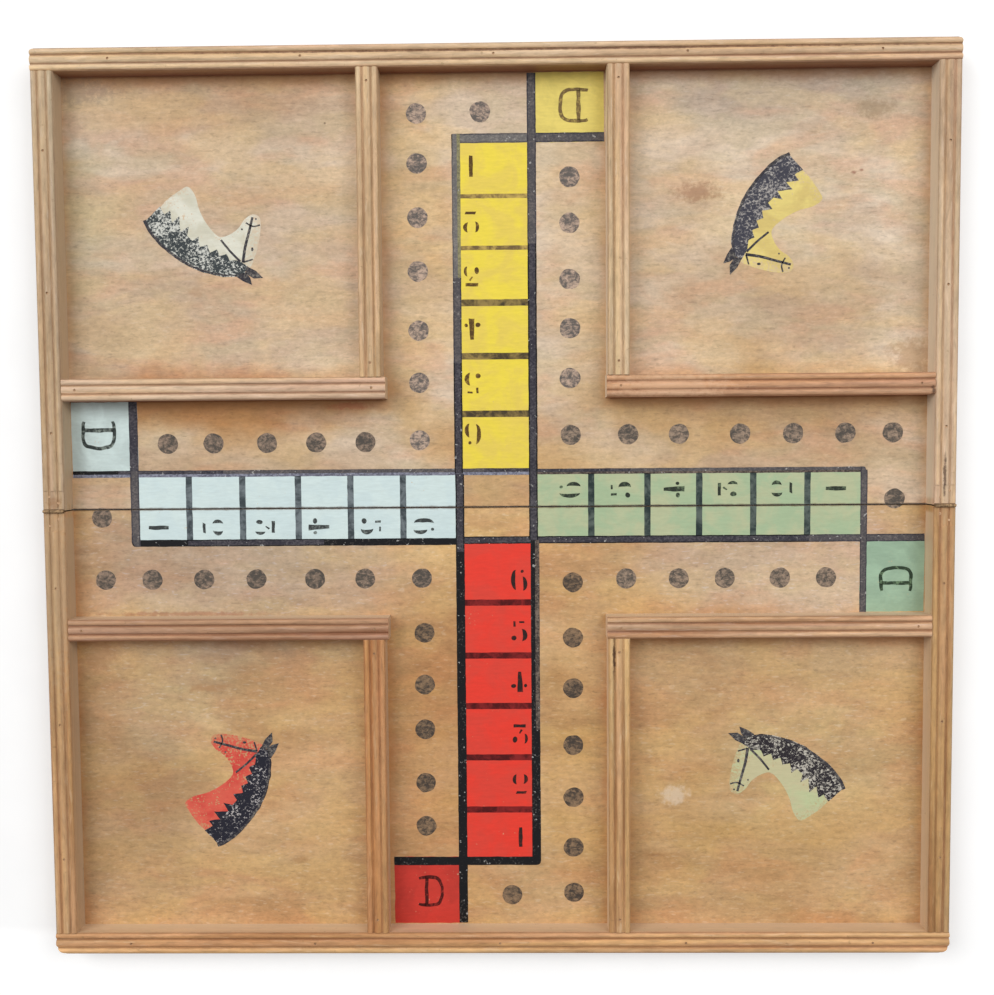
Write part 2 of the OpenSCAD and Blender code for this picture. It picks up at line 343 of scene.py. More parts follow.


# Strips: colour, patches per metre and strength of each tint, the painted groove shade with dirt
# and its strength by grain axis, dirt patches, and the painted tone of sides that face right
STRIP_TINTS = [((220, 176, 142), 16, 0.45), ((196, 176, 138), 13, 0.4),
               ((222, 184, 132), 19, 0.45)]
GROOVE_SHADE_AND_DIRT, STRIP_DIRT = srgb(126, 80, 50), srgb(122, 88, 56)
GROOVE_SHADE_STRENGTHS = (0.6, 0.36)
RIGHTWARD_SIDE_SHADE = srgb(189, 165, 136)


def reeded_wood(name, pale, deep, tone, along, seed, marks, shade, bright):
    """A strip's wood: grain along it, painted shade and dirt in its grooves, and sides painted lit
    or shaded by the way they face.

    tone is its factor on red, green and blue. shade is the painted shade of a side that faces down
    the board, and bright the painted light of one that faces up it or to the left.
    """
    graph = Graph(name)
    colour, height = wood(graph, pale, deep, along, seed, STRIP_TINTS, stretch=14.0, length=3.0,
                          contrast=1.3)
    colour = graph.mix(1.0, colour, (*tone, 1.0), "MULTIPLY")
    wear = graph.noise(graph.place, 120, 4, 0.65)
    depth = graph.math("ADD", graph.z, graph.shake(wear, 0.6 * MM))
    # Painted shade with dirt: faces darken with their depth into the grooves, more on strips whose
    # grain runs along X
    groove = graph.span(depth, (CREST - 0.85) * MM, (CREST - 0.3) * MM,
                        GROOVE_SHADE_STRENGTHS[along], 0.0)
    upward = graph.span(graph.facing_z, 0.1, 0.5)
    colour = graph.mix(graph.times(groove, upward), colour, GROOVE_SHADE_AND_DIRT)
    # Painted light and shade: each side gets a lit or a shaded tone by the way it faces, strongest
    # low down, not on the outer faces or by the fold
    lit = graph.mix(graph.span(graph.facing_x, 0.2, 0.7), srgb(*bright), RIGHTWARD_SIDE_SHADE)
    painted_side = graph.mix(graph.span(graph.facing_y, -0.7, -0.2), srgb(*shade), lit)
    side = graph.span(graph.size(graph.facing_z), 0.1, 0.6, 0.85, 0.0)
    low = graph.span(graph.z, PANEL_TOP * MM, CREST * MM, 1.0, 0.65)
    across, along_y = (graph.size(place) for place in (graph.x, graph.y))
    inside = graph.span(graph.math("MAXIMUM", across, along_y), (RAIL_HIGH.y - 3) * MM,
                        (RAIL_HIGH.y - 2) * MM, 1.0, 0.0)
    off_fold = graph.span(along_y, 2 * MM, 4 * MM)
    where = graph.times(graph.times(side, low), graph.times(inside, off_fold))
    colour = graph.mix(where, colour, painted_side)
    dirt = graph.noise(graph.place, 300, 3, 0.7)
    colour = graph.mix(graph.span(dirt, 0.64, 0.76, 0.0, 0.4), colour, STRIP_DIRT)
    colour = spotted(graph, colour, marks, MARK_RIM)
    rough = graph.span(wear, 0.3, 0.7, 0.42, 0.62)
    return graph.finish(colour, rough, graph.bump(height, 0.06 * MM, 0.6), specular=0.3)


def metal(name, bright, dull, rough_low, rough_high, metallic):
    graph = Graph(name)
    tarnish = graph.noise(graph.place, 900, 5, 0.65)
    colour = graph.mix(graph.span(tarnish, 0.35, 0.65), dull, bright)
    rough = graph.span(tarnish, 0.3, 0.7, rough_high, rough_low)
    return graph.finish(colour, rough, graph.bump(tarnish, 0.03 * MM, 0.5), metallic=metallic)


# Paint: shares of the brush marks and the wood's grain in its tone, and where chips begin
BRUSH_SHARE, GRAIN_SHARE = 0.22, 0.16
CHIP_START, CHIP_FULL, CHIP_GAIN = 0.69, 0.76, 0.12
BARE_WOOD = (206, 176, 138)
INK_CHIP = srgb(186, 184, 180)


def paint(name, colour, other, seed, chips, under=BARE_WOOD, fade=None):
    """Brushed paint that drifts between two tones, with small chips that show the wood.

    fade is (x, y, reach) of a patch that grows thin towards its rim.
    """
    graph = Graph(name)
    placed = graph.shifted(graph.place, (1, 1, 1), (seed * 0.29, seed * 0.17, 0))
    brush = graph.noise(graph.shifted(placed, (160, 900, 160)), 1.0, 4, 0.6, 0.3)
    cloud = graph.noise(placed, 75, 4, 0.6, 0.5)
    grain = graph.noise(graph.shifted(placed, (330, 1300, 330)), 1.0, 3, 0.6)
    coat = graph.mix(graph.span(cloud, 0.38, 0.62), srgb(*colour), srgb(*other))
    coat = graph.shade(coat, graph.about_one((brush, BRUSH_SHARE), (grain, GRAIN_SHARE)))
    speck = graph.noise(placed, 1100, 2, 0.6)
    patch = graph.noise(placed, 130, 3, 0.6)
    worn = graph.total((speck, 0.6), (patch, 0.4))
    bare = graph.span(worn, CHIP_START - CHIP_GAIN * chips, CHIP_FULL - CHIP_GAIN * chips)
    coat = graph.mix(bare, coat, srgb(*under))
    if fade:
        x, y, reach = fade
        rim = graph.math("ADD", graph.oval(x, y, reach, reach), graph.shake(speck, 1.1))
        coat = graph.mix(graph.span(rim, 0.7, 1.15, 0.0, 0.75), coat, srgb(*under))
    coat = fold_grime(graph, coat)
    rough = graph.span(cloud, 0.3, 0.7, 0.45, 0.62)
    return graph.finish(coat, rough, graph.bump(brush, 0.03 * MM, 0.5), specular=0.35)


def rubbed_ink(name, dark, pale, seed, low, high, scale, chips=0.0):
    """Ink or thin paint rubbed unevenly on the grain: dark where it held, pale where it wore."""
    graph = Graph(name)
    placed = graph.shifted(graph.place, (scale[0], scale[1], scale[1]), (seed * 4.1, seed * 2.3, 0))
    blot = graph.noise(placed, 1.0, 4, 0.7, 0.5)
    cloud = graph.noise(graph.place, 110, 3, 0.6)
    took = graph.total((blot, 0.72), (cloud, 0.28))
    colour = graph.mix(graph.span(took, low, high), srgb(*dark), srgb(*pale))
    if chips:
        chip = graph.noise(graph.place, 620, 2, 0.5)
        colour = graph.mix(graph.span(chip, 0.69, 0.72, 0.0, chips), colour, INK_CHIP)
    return graph.finish(colour, 0.6, graph.bump(blot, 0.02 * MM, 0.4), specular=0.15)


# Film meshes: thin closed slabs of paint that lie on a panel, with heights in millimetres
SQUARE_H, LINE_X_H, LINE_Y_H, MARK_H = 0.04, 0.06, 0.075, 0.095
FILM_SINK = 0.01
EDGE_SHAKE, SHAKES_PER_MM, SHAKE_SEED = 0.14, 0.35, 3
LEAST_PART = 0.4
# How near a corner a point counts as that corner, and the most of a side that rounding takes
POINT_MISS, CORNER_MISS, MOST_ROUNDING = 0.5, 0.7, 0.9
BLADE_HOLLOW = 0.18


def add_mesh(name, mesh, material):
    """Turns a finished bmesh into an object of the scene, with its material."""
    data = bpy.data.meshes.new(name)
    mesh.to_mesh(data)
    mesh.free()
    data.materials.append(material)
    return add_object(name, data)


def add_film(name, outlines, half, height, material):
    """One mesh of closed slabs on a panel. Outlines are lists of (x, y) in millimetres."""
    mesh = bmesh.new()
    for outline in outlines:
        low = [mesh.verts.new((x * MM, y * MM, (PANEL_TOP - FILM_SINK) * MM)) for x, y in outline]
        high = [mesh.verts.new((x * MM, y * MM, (PANEL_TOP + height) * MM)) for x, y in outline]
        mesh.faces.new(high)
        mesh.faces.new(list(reversed(low)))
        for i in range(len(outline)):
            j = (i + 1) % len(outline)
            mesh.faces.new((low[i], low[j], high[j], high[i]))
    bmesh.ops.recalc_face_normals(mesh, faces=mesh.faces)
    bmesh.ops.triangulate(mesh, faces=[f for f in mesh.faces if len(f.verts) > 4])
    piece = add_mesh(name, mesh, material)
    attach(piece, half)


def wavy(points, reach, seed, step=2.5):
    """A closed outline with its edges divided and shaken a little, as a brush leaves them."""
    result = []
    for i, (x0, y0) in enumerate(points):
        x1, y1 = points[(i + 1) % len(points)]
        length = math.hypot(x1 - x0, y1 - y0)
        count = max(1, round(length / step))
        for k in range(count):
            x = x0 + (x1 - x0) * k / count
            y = y0 + (y1 - y0) * k / count
            shake = noise.noise_vector(Vector((x * SHAKES_PER_MM, y * SHAKES_PER_MM, seed + 0.5)))
            result.append((x + reach * shake.x, y + reach * shake.y))
    return result


def rectangle(x0, y0, x1, y1):
    return [(x0, y0), (x1, y0), (x1, y1), (x0, y1)]


def arc(x, y, radius_x, radius_y, start, end, count=12):
    """Points on an ellipse from one angle to another, in degrees."""
    turns = [math.radians(start + (end - start) * i / count) for i in range(count + 1)]
    return [(x + radius_x * math.cos(a), y + radius_y * math.sin(a)) for a in turns]


def blade(x, y, width, height, lean):
    """A stencil blade: a long arc over a flat one, with its belly towards lean (-1 or 1)."""
    outer = arc(x, y, lean * width, height / 2, -90, 90)
    inner = arc(x, y, lean * width * BLADE_HOLLOW, height / 2, 90, -90)
    return outer + inner[1:-1]


def ball(x, y, across, tall, count=14):
    return arc(x, y, across / 2, tall / 2, 0, 360 * (count - 1) / count, count - 1)


def smooth(points, closed, steps=5):
    """A Catmull-Rom curve through the points."""
    count = len(points)
    result = []
    for i in range(count if closed else count - 1):
        around = range(i - 1, i + 3)
        picks = [k % count if closed else min(max(k, 0), count - 1) for k in around]
        p0, p1, p2, p3 = (Vector(points[pick]) for pick in picks)
        for s in range(steps):
            t = s / steps
            point = 0.5 * (2 * p1 + (p2 - p0) * t + (2 * p0 - 5 * p1 + 4 * p2 - p3) * t * t
                           + (3 * p1 - p0 - 3 * p2 + p3) * t ** 3)
            result.append(tuple(point))
    return result if closed else result + [tuple(points[-1])]


def ribbon(points, start_w, end_w):
    """A pen line along a smooth path, its width changing from start to end."""
    path = smooth(points, False, 4)
    left, right = [], []
    for i, (x, y) in enumerate(path):
        ahead = Vector(path[min(i + 1, len(path) - 1)]) - Vector(path[max(i - 1, 0)])
        side = Vector((-ahead.y, ahead.x)).normalized() / 2
        width = start_w + (end_w - start_w) * i / (len(path) - 1)
        left.append((x + side.x * width, y + side.y * width))
        right.append((x - side.x * width, y - side.y * width))
    return left + right[::-1]


def rounded(points, corner, radius):
    """The outline with one of its corners rounded off."""
    result = []
    for i, point in enumerate(points):
        if math.dist(point, corner) > POINT_MISS:
            result.append(point)
            continue
        at = Vector(point)
        start = at + (Vector(points[i - 1]) - at).normalized() * radius
        finish = at + (Vector(points[(i + 1) % len(points)]) - at).normalized() * radius
        for t in (0, 0.25, 0.5, 0.75, 1):
            result.append(tuple(start * (1 - t) ** 2 + at * 2 * t * (1 - t) + finish * t ** 2))
    return result


def softened(box, corner, radius):
    """A box with its corner nearest to a place rounded off; a narrow box is shortened there."""
    near = min(box, key=lambda point: math.dist(point, corner))
    if math.dist(near, corner) > CORNER_MISS:
        return box
    width, height = box[2][0] - box[0][0], box[2][1] - box[0][1]
    reach = min(radius, MOST_ROUNDING * min(width, height))
    axis = 0 if width > height else 1
    shift = math.copysign(radius - reach, (box[0][axis] + box[2][axis]) / 2 - corner[axis])

    def shortened(point):
        return tuple(value + shift if k == axis and value == near[k] else value
                     for k, value in enumerate(point))

    return rounded([shortened(point) for point in box], shortened(near), reach)


def turned(points, turns, x=0, y=0):
    """Points moved by x and y, then turned clockwise about the board's middle by quarters."""
    points = [(px + x, py + y) for px, py in points]
    for _ in range(turns):
        points = [(py, -px) for px, py in points]
    return points


# The four seats, each as the red player sees it, then turned clockwise by quarter turns.
# Distances from the board's middle, in millimetres, are read off the photograph.
# Pairs of colours are a paint's two tones, or an ink's dark and pale one.
RED_SEAT = dict(
    turns=0, bar_w=2.8, corner=2.1, horse_chips=1.15,
    coat=((228, 58, 42), (217, 63, 48)), start=(198, 54, 42),
    bars=((72, 14, 16), (132, 36, 36)), ink=((38, 26, 24), (96, 36, 32)),
    mark_ink=((66, 18, 16), (146, 44, 38)), dots=((68, 60, 54), (144, 118, 92)),
    horse=((202, 64, 54), (216, 92, 74)),
    mane=((32, 32, 42), (190, 184, 182)), mane_wear=(0.54, 0.61),
    left=(-18.6, -14.7), right=(14.8, 18.7), end=(159.3, 163.2),
    mark=(-31.6, -175.3), mark_size=(0.87, 0.93),
    separators=(43, 67, 90, 113.5, 137.5), tip=(5.6, 177), head=(-122, -127.6),
    outward=(33.6, (34, 59, 82, 108, 132, 155, 176)),
    homeward=(-33.2, (145, 125, 100.5, 80, 56.5)),
    number_side=9.5, numbers=(150.3, 125.8, 102.9, 79.1, 56, 32.9))
WHITE_SEAT = dict(
    turns=1, bar_w=2.8, corner=2.1,
    coat=((209, 225, 223), (204, 221, 221)), start=(203, 219, 216),
    bars=((58, 66, 70), (116, 124, 128)), ink=((56, 60, 60), (126, 134, 130)),
    mark_ink=((48, 54, 52), (142, 152, 144)), dots=((80, 74, 68), (156, 134, 116)),
    horse=((219, 217, 201), (204, 200, 180)),
    mane=((56, 62, 64), (206, 206, 198)), mane_wear=(0.50, 0.56),
    left=(-17.3, -14.3), right=(13.8, 16.9), end=(160.4, 164.3),
    mark=(-33.4, -177.9), mark_size=(1.0, 1.0),
    separators=(42, 65.5, 89, 114, 138), tip=(3.7, 177.5), head=(-121.5, -128.8),
    outward=(31.8, (34, 59.5, 82, 108.5, 132, 155.5, 176.5)),
    homeward=(-29.3, (147, 126.5, 102.5, 80.5, 58.5)),
    number_side=8.3, numbers=(152, 127.6, 104.2, 79.9, 56.6, 32.9))
YELLOW_SEAT = dict(
    turns=2, bar_w=1.9, corner=0.6,
    coat=((236, 213, 70), (228, 202, 86)), start=(228, 207, 108),
    bars=((112, 92, 60), (196, 168, 92)), inner_bars=((66, 56, 42), (150, 128, 76)),
    ink=((84, 62, 32), (150, 122, 54)),
    mark_ink=((112, 92, 58), (184, 162, 88)), dots=((98, 92, 88), (196, 170, 150)),
    horse=((228, 208, 122), (212, 188, 112)),
    mane=((62, 62, 72), (180, 174, 168)), mane_wear=(0.48, 0.60),
    left=(-18.2, -14.3), right=(15.1, 18.8), end=(160.0, 164.1),
    mark=(-34.8, -175.8), mark_size=(1.0, 0.97),
    separators=(114.5, 137), inner_separators=(41.5, 67, 90.5),
    tip=(6.2, 173.5), head=(-122.5, -127.7),
    outward=(34.2, (30, 55.5, 78.5, 104.5, 128, 151.5, 173)),
    homeward=(-32.8, (145, 125, 100.5, 79, 57)),
    number_side=10.4, numbers=(150.1, 125.8, 102.2, 79, 55.2, 32.6))
GREEN_SEAT = dict(
    turns=3, bar_w=2.8, corner=2.1,
    coat=((165, 185, 148), (182, 188, 150)), start=(159, 187, 160),
    bars=((38, 50, 50), (92, 102, 96)), ink=((42, 48, 40), (104, 120, 94)),
    mark_ink=((44, 58, 44), (120, 146, 112)), dots=((82, 76, 70), (164, 142, 122)),
    horse=((190, 198, 152), (198, 190, 150)),
    mane=((42, 38, 42), (196, 190, 178)), mane_wear=(0.50, 0.56),
    left=(-16.5, -13.2), right=(14.4, 16.9), end=(161.5, 164.5),
    mark=(-33.4, -177.6), mark_size=(0.87, 0.95),
    separators=(42, 67, 90, 114, 138), tip=(2.6, 176.5), head=(-122, -129.3),
    outward=(31.9, (33, 58.5, 81, 108, 131.5, 154.5, 175.5)),
    homeward=(-32.5, (146.5, 126, 101.5, 81, 57.5)),
    number_side=7.3, numbers=(150.6, 126.7, 102.7, 78.8, 55.2, 32.5))
SEATS = {"red": RED_SEAT, "white": WHITE_SEAT, "yellow": YELLOW_SEAT, "green": GREEN_SEAT}
# Line inks: a dark and a pale tone, and where the ink begins to wear and is all worn
LINE_INKS = {
    "fresh": ((12, 12, 15), (96, 92, 88), 0.55, 0.66),
    "slate": ((48, 46, 54), (92, 88, 92), 0.42, 0.66),
    "soft": ((76, 73, 76), (114, 107, 104), 0.42, 0.66),
    "faint": ((102, 99, 98), (138, 132, 126), 0.42, 0.66),
    "lavender": ((96, 96, 110), (148, 150, 165), 0.40, 0.62),
    "olive": ((112, 108, 84), (152, 146, 106), 0.40, 0.62),
    "faded": ((60, 52, 50), (124, 110, 98), 0.42, 0.62),
}
# Bands of a long line from its inner edge to its outer one: (share of its width, ink)
BLACK = [(1, "fresh")]
GREY = [(1, "slate")]
SLATE = [(0.15, "fresh"), (0.70, "slate"), (0.15, "fresh")]
SOFT = [(0.15, "slate"), (0.70, "soft"), (0.15, "slate")]
FAINT = [(0.15, "soft"), (0.70, "faint"), (0.15, "soft")]
# Each seat's left and right long lines in stretches, (share of the run where it ends, bands),
# then the bands of the lines at the ends of its column and its start
LINE_BANDS = {
    "red": ([(0.83, BLACK), (1, SLATE)], [(0.42, BLACK), (1, [(0.5, "fresh"), (0.5, "faded")])],
            BLACK, BLACK),
    "white": ([(0.10, [(0.45, "lavender"), (0.55, "fresh")]),
               (0.33, [(0.45, "lavender"), (0.55, "slate")]),
               (0.90, [(0.45, "lavender"), (0.55, "soft")]),
               (1, [(0.45, "lavender"), (0.55, "slate")])],
              [(0.17, BLACK), (0.58, SLATE), (1, BLACK)], SOFT, GREY),
    "yellow": ([(0.36, SOFT), (1, SLATE)],
               [(0.42, [(0.38, "olive"), (0.50, "faint"), (0.12, "soft")]), (0.67, SOFT),
                (1, SLATE)], FAINT, SOFT),
    "green": ([(0.25, SOFT), (1, SLATE)],
              [(0.70, [(0.4, "faded"), (0.6, "soft")]), (1, [(0.4, "faded"), (0.6, "slate")])],
              SOFT, SOFT),
}
# A column's inner end, what lies under or over a line, and the gaps that are left
COLUMN_START = 15.0
UNDER_LINE, LINE_OVERLAP, BAR_OVERLAP = 1, 0.3, 0.2
PAINT_GAP, LINE_RAIL_GAP, LINE_DIVIDER_GAP, LINE_END_GAP = 0.3, 0.4, 0.2, 0.2
INNER_BAR_MORE = 0.5
DOT_W, DOT_POINTS, DOT_SEED = 9.0, 44, 11
START_WORN, HORSE_FADE = 0.93, 25
UPPER_BARE, LOWER_BARE = (208, 182, 152), (192, 154, 110)


def cut(points, fold, side):
    """The part of an outline on one side of the fold: side is 1 above it and -1 below it."""
    result = []
    for i, (x1, y1) in enumerate(points):
        x0, y0 = points[i - 1]
        kept_before, kept = side * (y0 - fold) >= 0, side * (y1 - fold) >= 0
        if kept_before != kept:
            share = (fold - y0) / (y1 - y0)
            result.append((x0 + (x1 - x0) * share, fold))
        if kept:
            result.append((x1, y1))
    return result


class Films:
    """Collects outlines by half, so that each kind of paint becomes one mesh per half."""

    def __init__(self, name, height, material):
        self.name, self.height, self.material = name, height, material
        self.outlines = {LOWER_HALF: [], UPPER_HALF: []}

    def add(self, points):
        """Adds an outline, in two parts where it runs across the fold."""
        area = sum(points[i - 1][0] * p[1] - p[0] * points[i - 1][1] for i, p in enumerate(points))
        points = points if area > 0 else points[::-1]
        for half, side in ((UPPER_HALF, 1), (LOWER_HALF, -1)):
            part = cut(points, side * FOLD_Y, side)
            if max((side * y for _, y in part), default=0) > FOLD_Y + LEAST_PART:
                self.outlines[half].append(part)

    def add_box(self, x0, y0, x1, y1, turns, reach=EDGE_SHAKE, seed=0.0, soft=None):
        """A box with slightly uneven edges. soft is (corner, radius) of a corner rounded off."""
        xs, ys = zip(*turned(rectangle(x0, y0, x1, y1), turns))
        outline = rectangle(min(xs), min(ys), max(xs), max(ys))
        if soft:
            outline = softened(outline, *soft)
        self.add(wavy(outline, reach, seed=seed))

    def build(self):
        for half, prefix in ((UPPER_HALF, "upper"), (LOWER_HALF, "lower")):
            if self.outlines[half]:
                add_film(f"{prefix}_{self.name}", self.outlines[half], half, self.height,
                         self.material)


def start_mark():
    """A plain serifed start letter: a stem, a round bowl and two short serifs."""
    stem = rectangle(-3.0, -6.4, -1.2, 6.4)
    bowl = [(-2.9, 6.9), (2.0, 6.9), (4.5, 5.6), (5.6, 3.0), (5.9, 0), (5.6, -3.0), (4.5, -5.6),
            (2.0, -6.9), (-2.9, -6.9)]
    serifs = [ribbon([(-6.1, up * 6.4), (-4.6, up * 6.8), (-2.6, up * 6.9)], 1.3, 1.6)
              for up in (1, -1)]
    return [stem, ribbon(bowl, 1.6, 1.6)] + serifs


def numbers():
    """Stencil figures 1 to 6, each a few separate shapes inside 7.4 by 9.6 mm."""
    one = [[(-0.75, -4.5), (0.75, -4.5), (0.95, 0), (0.75, 4.5), (-0.75, 4.5), (-0.95, 0)]]
    two = [blade(-1.6, 2.2, 1.9, 4.6, -1), blade(1.5, 2.3, 2.1, 4.4, 1),
           [(-2.2, -4.5), (2.4, -4.5), (2.9, -3.3), (-1.6, -3.3)]]
    three = [rectangle(-2.8, 3.1, 2.7, 4.5), ribbon([(0.9, 2.0), (-0.3, 0.3)], 0.9, 0.5),
             ball(-2.2, -2.4, 2.0, 2.8), blade(2.0, -2.1, 1.6, 4.4, 1)]
    four = [[(-0.6, 4.6), (0.8, 4.6), (1.6, -4.6), (-1.0, -4.6)], ball(-2.6, -1.7, 2.4, 1.9),
            ball(2.7, -1.6, 1.5, 1.6)]
    five = [rectangle(-2.6, 2.0, -1.6, 4.5), rectangle(0.1, 3.7, 2.3, 4.5),
            ball(-2.4, -3.0, 2.3, 2.2), blade(1.1, -1.7, 2.5, 5.6, 1)]
    six = [blade(-1.3, 0.1, 2.2, 9.0, -1), blade(1.6, -1.6, 2.1, 6.2, 1), ball(1.5, 3.9, 1.4, 1.4)]
    return [one, two, three, four, five, six]


# A plain horse head in profile, drawn for the red tray about the middle of its own box
HORSE_COAT = [(-8.6, 21.8), (-7.2, 24.9), (-2.2, 25.3), (5.2, 24.0), (11.0, 22.0), (14.8, 19.8),
              (16.0, 12.0), (13.4, 1.5), (6.5, -9.0), (-3.0, -18.5), (-8.0, -22.6), (-12.6, -18.6),
              (-15.8, -15.4), (-19.6, -9.8), (-20.9, -6.3), (-17.0, -3.4), (-10.6, -1.6),
              (-4.2, 1.8), (0.9, 6.6), (0.2, 11.2), (-2.6, 15.4), (-6.4, 18.2)]
MANE_BACK = [(18.0, 17.4), (18.7, 11.0), (17.6, 3.4), (14.9, -4.8), (10.6, -12.2), (4.6, -19.4),
             (-1.2, -24.0), (-5.8, -26.2)]
MANE_LOCKS = [(-12.4, -19.3), (-8.9, -17.0), (-10.7, -14.6), (-5.4, -13.9), (-8.0, -10.6),
              (-1.4, -10.2), (-3.6, -6.4), (0.4, -7.4), (2.6, -5.0), (0.9, -2.4), (5.2, -1.9),
              (4.6, 1.4), (7.8, 2.6), (6.6, 5.6), (9.6, 6.8), (8.4, 10.0), (11.2, 11.2),
              (11.6, 15.6), (14.2, 19.4)]
MANE_TIP_W, MANE_RIM_W = 0.4, 1.5
EARS = [[(13.9, 18.6), (17.3, 18.4), (19.4, 21.8), (19.2, 26.0), (16.0, 22.8)],
        [(16.6, 18.2), (18.6, 14.2), (20.6, 17.2), (22.2, 21.0), (19.0, 20.2)]]
BRIDLE = [([(12.4, 17.2), (6.0, 18.2), (-0.6, 20.0), (-7.4, 21.8)], 1.3, 1.0),
          ([(11.9, 16.0), (7.4, 11.6), (2.4, 7.6)], 1.0, 0.9),
          ([(11.0, 21.6), (12.2, 17.4)], 0.6, 0.8),
          ([(-4.0, 25.0), (-3.4, 22.0), (-5.0, 18.8)], 0.7, 0.6)]
HORSE_SPOTS = [ball(6.6, 21.4, 1.7, 1.1), ball(-6.6, 23.3, 0.9, 0.8), ball(-2.2, 17.0, 0.8, 0.8)]


def add_horse(facts, coat_films, mane_films, drawing):
    """One seat's horse head: coat, mane with its darker rim, ears, bridle and spots."""
    def put(points):
        return turned(points, facts["turns"], *facts["head"])

    coat_films.add(put(smooth(HORSE_COAT, True)))
    back = smooth(MANE_BACK, False)
    mane_films.add(wavy(put(back + MANE_LOCKS), 0.3, seed=facts["turns"], step=0.8))
    rim = [(x - MANE_RIM_W / 2, y) for x, y in MANE_BACK]
    rim = put(ribbon(rim, MANE_TIP_W, MANE_RIM_W))
    drawing.add(wavy(rim, 0.25, seed=facts["turns"], step=0.9))
    bridle = [ribbon(*line) for line in BRIDLE]
    for shape in EARS + bridle + HORSE_SPOTS:
        drawing.add(put(shape))


def line_films():
    """Films for each line ink, those along Y a little higher where they cross the others."""
    lines = {}
    for index, (tone, (dark, pale, low, high)) in enumerate(LINE_INKS.items()):
        ink = rubbed_ink(f"{tone}_line_ink", dark, pale, 3.1 + 1.7 * index, low, high,
                         (800, 1000), chips=0.7)
        lines[tone, "x"] = Films(f"{tone}_lines_along_x", LINE_X_H, ink)
        lines[tone, "y"] = Films(f"{tone}_lines_along_y", LINE_Y_H, ink)
    return lines


def rule_seat(seat, facts, lines):
    """A seat's two long lines, and the lines at the outer ends of its column and its start."""
    turns, left, right, end = (facts[key] for key in ("turns", "left", "right", "end"))
    soft = (turned([(right[1], -end[1])], turns)[0], facts["corner"])

    def rule(near, far, start, stop, bands, upright, seed, soft=None):
        """One stretch of a line, its bands side by side from near to far."""
        direction = "y" if (turns % 2 == 0) == upright else "x"
        inner = near
        for width, tone in bands:
            outer = inner + (far - near) * width
            ends = (inner, start, outer, stop) if upright else (start, inner, stop, outer)
            lines[tone, direction].add_box(*ends, turns, seed=seed, soft=soft)
            inner = outer

    def rule_long(line, first, last, stretches, seed, soft=None):
        """A line along the column, in stretches from its outer end."""
        near, far = sorted(line, key=abs)
        start = first
        for share, bands in stretches:
            stop = first + (last - first) * share
            rule(near, far, start, stop, bands, True, seed, soft)
            start = stop

    left_bands, right_bands, end_bands, start_bands = LINE_BANDS[seat]
    rule_long(left, LINE_RAIL_GAP - INNER_EDGE, COLUMN_START - LINE_END_GAP, left_bands, 1.0)
    rule_long(right, -end[1], -COLUMN_START, right_bands, 2.0, soft)
    meeting, start = left[0] + LINE_OVERLAP, LINE_DIVIDER_GAP - PATH_HALF
    rule(-end[0], -end[1], meeting, right[1], end_bands, False, 3.0, soft)
    rule(-end[0], -end[1], start, meeting, start_bands, False, 3.0)


def seat_bars(seat, facts):
    """The bars between a column's squares, which in one seat come in two inks."""
    turns, left, right = facts["turns"], facts["left"], facts["right"]
    kinds = []
    for prefix, more in (("", 0), ("inner_", INNER_BAR_MORE)):
        if prefix + "separators" not in facts:
            continue
        ink = rubbed_ink(f"{seat}_{prefix}bar_ink", *facts[prefix + "bars"], 6.1 + turns,
                         0.40, 0.62, (160, 160))
        bars = Films(f"{seat}_{prefix}separators", LINE_X_H, ink)
        half_w = facts["bar_w"] / 2 + more
        for station in facts[prefix + "separators"]:
            bars.add_box(left[1] - BAR_OVERLAP, -station - half_w, right[0] + BAR_OVERLAP,
                         -station + half_w, turns, seed=station)
        kinds.append(bars)
    return kinds


def seat_squares(seat, facts):
    """A seat's column of squares, and its start square beside the column's outer end."""
    turns, left, right, end = (facts[key] for key in ("turns", "left", "right", "end"))
    coat = paint(f"{seat}_paint", *facts["coat"], 11.3 + turns, chips=0.25)
    squares = Films(f"{seat}_squares", SQUARE_H, coat)
    squares.add_box(left[1] - UNDER_LINE, -end[0] - UNDER_LINE, right[0] + UNDER_LINE,
                    -COLUMN_START, turns)
    worn = [START_WORN * channel for channel in facts["start"]]
    start_coat = paint(f"{seat}_start_paint", facts["start"], worn, 15.7 + turns, chips=0.4)
    start_square = Films(f"{seat}_start_square", SQUARE_H, start_coat)
    start_square.add_box(PAINT_GAP - PATH_HALF, PAINT_GAP - INNER_EDGE, left[0] + UNDER_LINE,
                         -end[0], turns, reach=0.3, seed=4.0)
    return [squares, start_square]


def seat_figures(seat, facts, shapes):
    """The figures along a column and the letter on its start square."""
    turns = facts["turns"]
    ink = rubbed_ink(f"{seat}_figure_ink", *facts["ink"], 7.9 + turns, 0.48, 0.64, (600, 600))
    figures = Films(f"{seat}_numbers", MARK_H, ink)
    for shape, station in zip(shapes, facts["numbers"]):
        for part in shape:
            place = turned(part, turns, facts["number_side"], -station)
            figures.add(wavy(place, 0.22, seed=station, step=0.5))
    ink = rubbed_ink(f"{seat}_mark_ink", *facts["mark_ink"], 8.7 + turns, 0.47, 0.66, (500, 500))
    mark = Films(f"{seat}_start_mark", MARK_H, ink)
    wide, tall = facts["mark_size"]
    for part in start_mark():
        sized = [(wide * x, tall * y) for x, y in part]
        place = turned(sized, turns, *facts["mark"])
        mark.add(wavy(place, 0.34, seed=turns, step=0.8))
    return [figures, mark]


